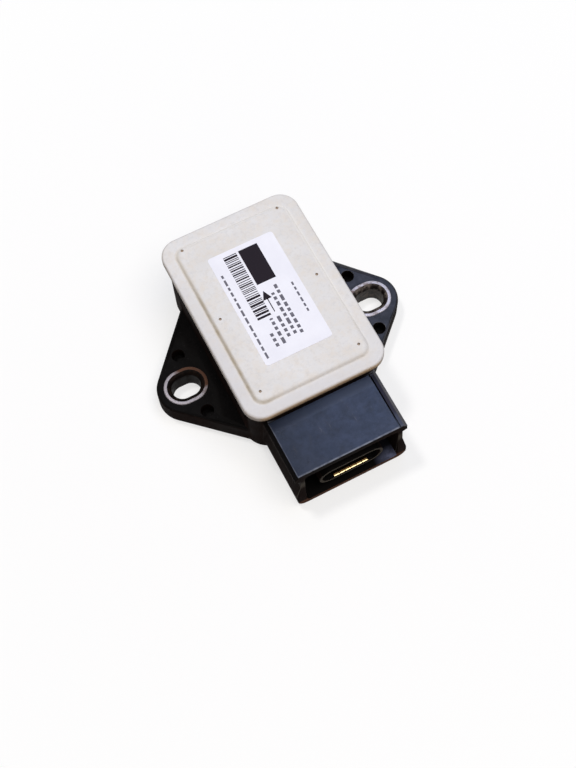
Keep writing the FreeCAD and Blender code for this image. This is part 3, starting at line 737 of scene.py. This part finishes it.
def make_dimple_pins():
    """Short pins where the cover's dimples go."""
    pins = []
    for x in (-DIMPLE_X, DIMPLE_X):
        for step in DIMPLE_STEPS:
            to_object_mode()
            bpy.ops.mesh.primitive_cylinder_add(
                vertices=24, radius=DIMPLE * MM, depth=1.0 * MM,
                location=(x * MM, (DIMPLE_MIDDLE_Y + step) * MM, (COVER_TOP + 0.1) * MM))
            bpy.ops.object.transform_apply(location=True, rotation=True, scale=True)
            pins.append(bpy.context.object)
    return joined("dimple_pins", pins)


def make_cover():
    """The cover: a rim, a raised field bridged to it, and below it a tongue hollowed from underneath."""
    rim = rounded_block("rim", RIM_HALF, MIDDLE_Y, WALL_TOP, SHOULDER, RIM_CORNER)
    field = rounded_block("field", FIELD_HALF, MIDDLE_Y, SHOULDER, COVER_TOP, FIELD_CORNER)
    tongue = rounded_block("tongue", TONGUE_HALF, MIDDLE_Y, TONGUE_END, WALL_TOP, TONGUE_CORNER)
    piece = joined("cover_moulding", [rim, field, tongue])
    edit(piece)
    seams = (SHOULDER, WALL_TOP)
    pick(piece, "faces", lambda face: abs(face.normal.z) > 0.9 and any(
        abs(place_of(face).z - height) < SAME for height in seams))
    bpy.ops.mesh.delete(type="ONLY_FACE")
    for height in seams:
        bridge_at(piece, lambda edge: level(edge, height))
    pick(piece, "faces", lambda face: abs(place_of(face).z - TONGUE_END) < SAME)
    bpy.ops.mesh.inset(thickness=TONGUE_WALL * MM, use_even_offset=True)
    hollow = COVER_TOP - COVER_ROOF - TONGUE_END
    bpy.ops.mesh.extrude_region_move(TRANSFORM_OT_translate={"value": (0, 0, hollow * MM)})
    outward_normals()

    def past(edge, half):
        return all(abs(vert.co.x / MM) > half[0] or abs(vert.co.y / MM - MIDDLE_Y) > half[1]
                   for vert in edge.verts)

    round_off(piece, lambda edge: level(edge, SHOULDER) and past(edge, RIM_ONLY), 0.9, 5)
    pick(piece, "verts", lambda vert: abs(vert.co.z / MM - COVER_TOP) < SAME)
    taper = [top / foot for top, foot in zip(FIELD_TOP_HALF, FIELD_HALF)]
    bpy.ops.transform.resize(value=(*taper, 1), center_override=(0, MIDDLE_Y * MM, 0))
    round_off(piece, lambda edge: level(edge, SHOULDER) and not past(edge, FIELD_ONLY), 0.7, 3)
    round_off(piece, lambda edge: level(edge, COVER_TOP), 0.7, 4)
    round_off(piece, lambda edge: level(edge, WALL_TOP) and past(edge, RIM_ONLY), 0.25, 2)
    cut_away(piece, make_dimple_pins())
    smooth(piece, 32)
    coat(piece, cream_moulding(), dimple_tone())
    for face in piece.data.polygons:
        face.material_index = 1 if in_dimple(face.center / MM) else 0
    finish_piece(piece, "cream_plastic", "cover")


def make_label():
    paper = rounded_block("label_sheet", LABEL_HALF, LABEL_MIDDLE_Y, COVER_TOP, LABEL_TOP - SKIN,
                          LABEL_CORNER, 6)
    coat(paper, label_paper())
    smooth(paper, 30)
    finish_piece(paper, "label_paper", "label")


def stroke(name, left, right, low, high):
    """One flat printed patch on the label."""
    return block(name, (left, low, LABEL_TOP - SKIN), (right, high, LABEL_TOP))


def make_arrow_head():
    head = stroke("arrow_head", -2.1, 0.7, 5.0, 8.0)
    edit(head)
    pick(head, "verts", lambda vert: vert.co.y / MM > 7.9)
    bpy.ops.transform.resize(value=(0.02, 1, 1), center_override=(-0.7 * MM, 0, 0))
    to_object_mode()
    return head


def make_print():
    """Plain marks on the label: a dark field, a strip of bars, an arrow, and rows of short blank lines."""
    marks = [stroke("field", -1.35, 5.0, 10.6, 23.7)]
    bars = random.Random(11)
    y = -0.15
    while y < 23.4:
        wide = bars.choice((0.28, 0.28, 0.5, 0.75))
        marks.append(stroke("bar", -6.5, -2.1, y, y + wide))
        y += wide + bars.choice((0.26, 0.3, 0.5))
    marks.append(stroke("arrow_shaft", -0.85, -0.55, 0.3, 5.4))
    marks.append(make_arrow_head())
    print_piece = joined("label_marks", marks)
    coat(print_piece, label_ink())
    finish_piece(print_piece, "label_paper")

    # Each row's place across the label, its start and end, and half its width
    rows = ((-9.4, -12.5, 19.5, 0.34), (3.4, -9.6, 8.4, 0.5), (1.5, -9.0, 6.2, 0.5),
            (-0.6, -9.0, -1.2, 0.5), (-2.8, -10.4, -1.2, 0.5), (-5.0, -10.4, -4.6, 0.5),
            (8.3, -4.2, 6.8, 0.3))
    lines = []
    blanks = random.Random(5)
    for x, low, high, half in rows:
        y = low
        while y < high - 0.4:
            run = min(blanks.choice((1.1, 1.5, 2.1)), high - y)
            lines.append(stroke("line", x - half, x + half, y, y + run))
            y += run + 0.7
    line_piece = joined("label_lines", lines)
    coat(line_piece, pale_ink())
    finish_piece(line_piece, "label_paper")


def model_bush():
    """A bush pressed from tube, at the origin: a stretched ring with a rolled lip into its slot."""
    to_object_mode()
    bpy.ops.mesh.primitive_cylinder_add(vertices=BUSH_STEPS, radius=BUSH_RADIUS * MM, depth=BUSH_TOP * MM,
                                        location=(0, 0, BUSH_TOP / 2 * MM),
                                        rotation=(0, 0, math.pi / BUSH_STEPS))
    piece = bpy.context.object
    bpy.ops.object.transform_apply(location=True, rotation=True, scale=True)
    edit(piece)
    pick(piece, "faces", lambda face: abs(face.normal.z) > 0.9)
    bpy.ops.mesh.inset(thickness=BUSH_WALL * MM, use_even_offset=True)
    bpy.ops.mesh.delete(type="ONLY_FACE")
    bridge_at(piece, lambda edge: all(vert.co.xy.length / MM < BORE + 0.5 for vert in edge.verts))
    for sign in (-1, 1):
        pick(piece, "verts", lambda vert: vert.co.x * sign > 0)
        bpy.ops.transform.translate(value=(sign * SLOT_STRETCH * MM, 0, 0))
    outward_normals()

    def in_slot(edge):
        return all(abs(vert.co.y) / MM < BORE + 0.1 and abs(vert.co.x) / MM < BORE + SLOT_STRETCH + 0.1
                   for vert in edge.verts)

    round_off(piece, lambda edge: level(edge, BUSH_TOP) and in_slot(edge), BUSH_LIP, 7)
    round_off(piece, lambda edge: level(edge, BUSH_TOP) and not in_slot(edge) and len(edge.link_faces) == 2
              and edge.calc_face_angle() > 0.5, 0.25, 3)
    to_object_mode()
    return piece


def place_bush(model, name, node, side, ring_finish, lip_finish):
    piece = copy_of_mesh(model, name)
    edit(piece)
    bpy.ops.mesh.select_all(action="SELECT")
    bpy.ops.transform.translate(value=(side * SLOT_X * MM, 0, 0))
    smooth(piece, 40)
    coat(piece, ring_finish, lip_finish)
    for face in piece.data.polygons:
        across = max(0.0, abs(face.center.x / MM - side * SLOT_X) - SLOT_STRETCH)
        face.material_index = 0 if math.hypot(across, face.center.y / MM) > RING_START else 1
    finish_piece(piece, "bush_steel", node)


def make_bushes():
    model = model_bush()
    place_bush(model, "left_bush_ring", "left_bush", -1,
               rubbed_steel("rusty_ring", colour(146, 141, 147), colour(94, 86, 86), 0.34),
               dark_steel("rusty_bore", colour(12, 9, 8), colour(34, 25, 20), 0.1, 0.03))
    place_bush(model, "right_bush_ring", "right_bush", 1,
               rubbed_steel("bright_ring", colour(190, 188, 200), colour(140, 135, 142), 0.03),
               dark_steel("worn_bore", colour(24, 18, 16), colour(112, 102, 95), 0.5, 0.2))
    bpy.data.objects.remove(model)


def dress_nodes():
    """Gives the CAD nodes that stay their finishes."""
    finishes = {"circuit_board": board_laminate(), "cover_seal": sealant(),
                "storage_capacitor": can_finish("storage_capacitor"),
                "bus_choke": capped_chip("bus_choke", colour(46, 46, 50), colour(62, 62, 66)),
                "resonator": capped_chip("resonator", colour(176, 170, 150), colour(194, 188, 170))}
    gold, steel = contact_gold(), turned_steel()
    for count in range(1, 7):
        finishes["terminal_%d" % count] = gold
    for count in range(1, 5):
        finishes["board_screw_%d" % count] = steel
        chip = "ceramic_capacitor_%d" % count
        finishes[chip] = capped_chip(chip, colour(150, 116, 84), colour(170, 136, 102))
    for node in ("yaw_element", "acceleration_element", "controller", "bus_transceiver",
                 "voltage_regulator"):
        finishes[node] = leaded_package(node)
    for node, finish in finishes.items():
        coat(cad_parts[node], finish)


# Surroundings

def floor_paper():
    """Pale paper that shows white, a little less so near the object, where it keeps the shadow."""
    paper = Nodes("floor_paper")
    paper.tree.nodes.remove(paper.shader)
    rays = paper.node("LightPath").outputs
    reflected = paper.calc("MAXIMUM", rays["Is Glossy Ray"], rays["Is Transmission Ray"])
    glow = paper.node("Emission", Strength=paper.calc("MAXIMUM", rays["Is Camera Ray"], reflected))
    matte = paper.node("BsdfDiffuse", Color=(0.97, 0.97, 0.97, 1))
    away = paper.node("VectorMath")
    away.operation = "LENGTH"
    paper.set(away, 0, paper.place)
    both = paper.node("MixShader", Fac=paper.ramp(away.outputs["Value"], 0.07, 0.22, 0.62, 1.0))
    paper.set(both, 1, matte.outputs[0])
    paper.set(both, 2, glow.outputs[0])
    paper.set(paper.tree.nodes["Material Output"], "Surface", both.outputs[0])
    return paper.material


def make_floor():
    """A wide floor just under the object, turned up at its edges."""
    to_object_mode()
    bpy.ops.mesh.primitive_plane_add(size=6.0, location=(0, 0, -0.00005))
    floor = bpy.context.object
    floor.name = "floor"
    edit(floor)
    pick(floor, "edges", lambda edge: True)
    bpy.ops.mesh.extrude_edges_move(TRANSFORM_OT_translate={"value": (0, 0, 1.5)})
    to_object_mode()
    coat(floor, floor_paper())


def lamp(name, place, target, size, power, tint):
    data = bpy.data.lights.new(name, "AREA")
    data.shape = "RECTANGLE"
    data.size, data.size_y = size
    data.energy = power
    data.color = tint
    made = bpy.data.objects.new(name, data)
    bpy.context.scene.collection.objects.link(made)
    made.location = place
    made.rotation_euler = (Vector(target) - Vector(place)).to_track_quat("-Z", "Y").to_euler()


def make_lights():
    lamp("soft_top", (0.22, -0.30, 1.15), (0, 0, 0), (0.9, 0.7), 9.2, (1.0, 0.955, 0.91))
    lamp("cool_window", (0.425, 0.42, 1.05), (0.425, 0.42, 0), (0.6, 0.7), 2.6, (0.48, 0.63, 1.0))
    lamp("far_left", (-0.20, 0.38, 1.08), (0, 0, 0), (0.16, 0.16), 4.8, (1.0, 0.97, 0.94))
    lamp("near_fill", (-0.35, -0.9, 0.30), (0, 0, 0.01), (0.7, 0.3), 0.7, (1.0, 0.72, 0.55))
    world = bpy.data.worlds.new("studio")
    bpy.context.scene.world = world
    world.use_nodes = True
    sky = world.node_tree.nodes["Background"]
    sky.inputs["Color"].default_value = (0.95, 0.97, 1.0, 1)
    sky.inputs["Strength"].default_value = 0.08


def make_camera():
    """The camera at the photograph's viewing angle, given by its directions and its place."""
    data = bpy.data.cameras.new("photo_camera")
    camera = bpy.data.objects.new("photo_camera", data)
    bpy.context.scene.collection.objects.link(camera)
    right, up = (0.88799, -0.45956, -0.01657), (0.42736, 0.81141, 0.39872)
    back, place = (-0.16979, -0.36115, 0.91692), (-0.06806, -0.15008, 0.35218)
    camera.matrix_world = Matrix([*zip(right, up, back, place), (0, 0, 0, 1)])
    data.sensor_width = 36.0
    data.lens = 57.23
    data.clip_start = 0.01
    bpy.context.scene.camera = camera


make_housing()
make_cover()
make_label()
make_print()
make_bushes()
dress_nodes()
make_floor()
make_lights()
make_camera()
bpy.context.scene.view_settings.view_transform = "Standard"
